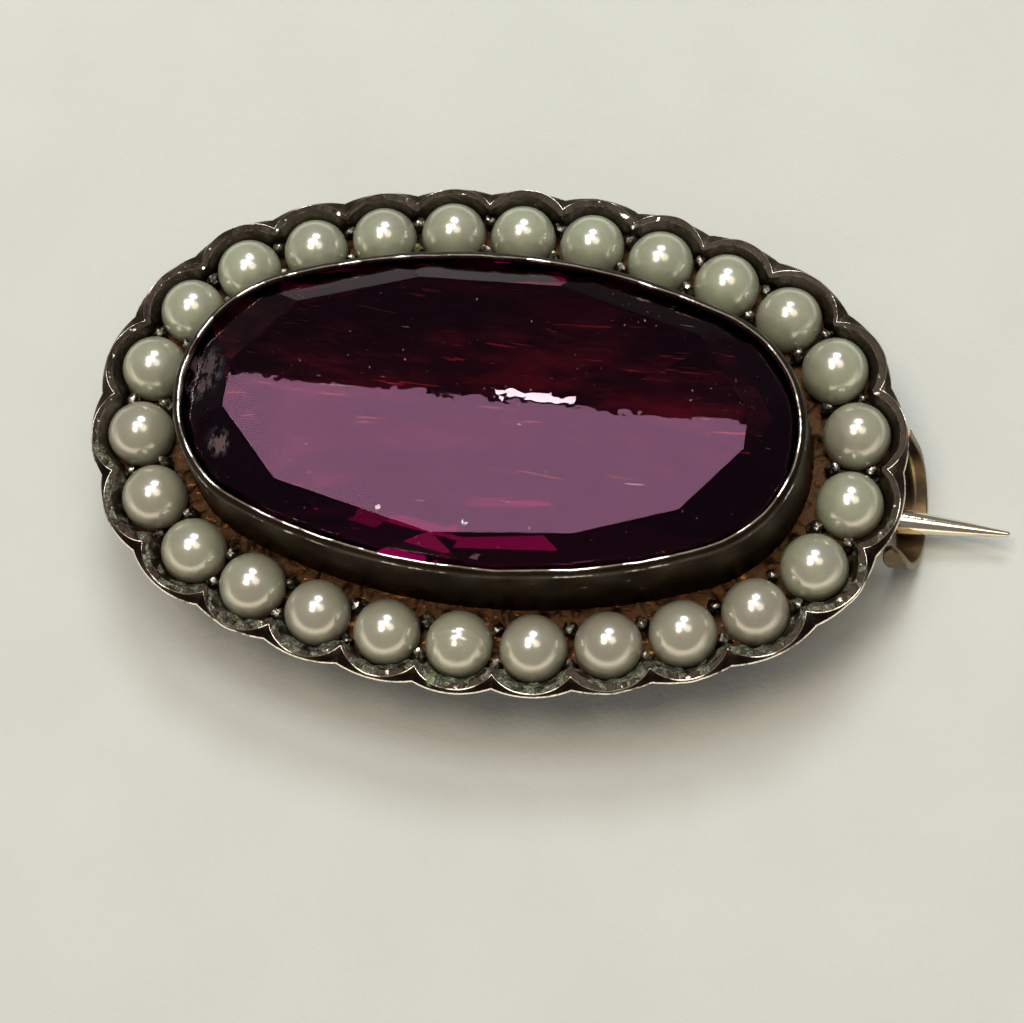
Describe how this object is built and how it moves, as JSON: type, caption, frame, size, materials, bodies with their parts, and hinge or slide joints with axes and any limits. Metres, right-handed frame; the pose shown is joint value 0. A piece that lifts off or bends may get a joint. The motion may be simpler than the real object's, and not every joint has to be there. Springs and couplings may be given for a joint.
{
  "type": "pin brooch",
  "caption": "Oval pin brooch: long faceted purple stone in a plain collet, ringed by small pearls in a scalloped metal tray, with a hinged pin and a catch behind.",
  "frame": {"origin": "on the surface it lies on, under the middle of its whole length (pin point included) and of its width", "axes": "+X along the long axis towards the pin's point, +Y across towards the wearer's top edge, +Z out of the face, away from the surface"},
  "size_m": [0.0339, 0.0196, 0.0074],
  "materials": {
    "tarnished_metal": "old low-carat gilt metal, tarnished grey-brown, with bright worn edges",
    "pin_metal": "polished white metal with a light straw tint",
    "stone": "transparent deep purple, cut and polished, lightly scratched",
    "pearl": "cream seed pearl with a soft satin lustre"
  },
  "bodies": {
    "brooch": {"hinge_rivet": "tarnished_metal", "pearl_01": "pearl", "pearl_02": "pearl", "pearl_03": "pearl", "pearl_04": "pearl", "pearl_05": "pearl", "pearl_06": "pearl", "pearl_07": "pearl", "pearl_08": "pearl", "pearl_09": "pearl", "pearl_10": "pearl", "pearl_11": "pearl", "pearl_12": "pearl", "pearl_13": "pearl", "pearl_14": "pearl", "pearl_15": "pearl", "pearl_16": "pearl", "pearl_17": "pearl", "pearl_18": "pearl", "pearl_19": "pearl", "pearl_20": "pearl", "pearl_21": "pearl", "pearl_22": "pearl", "pearl_23": "pearl", "pearl_24": "pearl", "pearl_25": "pearl", "pearl_26": "pearl", "setting": "tarnished_metal", "stone": "stone"},
    "pin": {"pin": "pin_metal"}
  },
  "joints": [
    {"name": "pin_hinge", "type": "hinge", "parent": "brooch", "child": "pin", "pos_m": [-0.01494, 0, 0.00095], "axis": [0, 1, 0], "range_deg": [0, 80]}
  ]
}
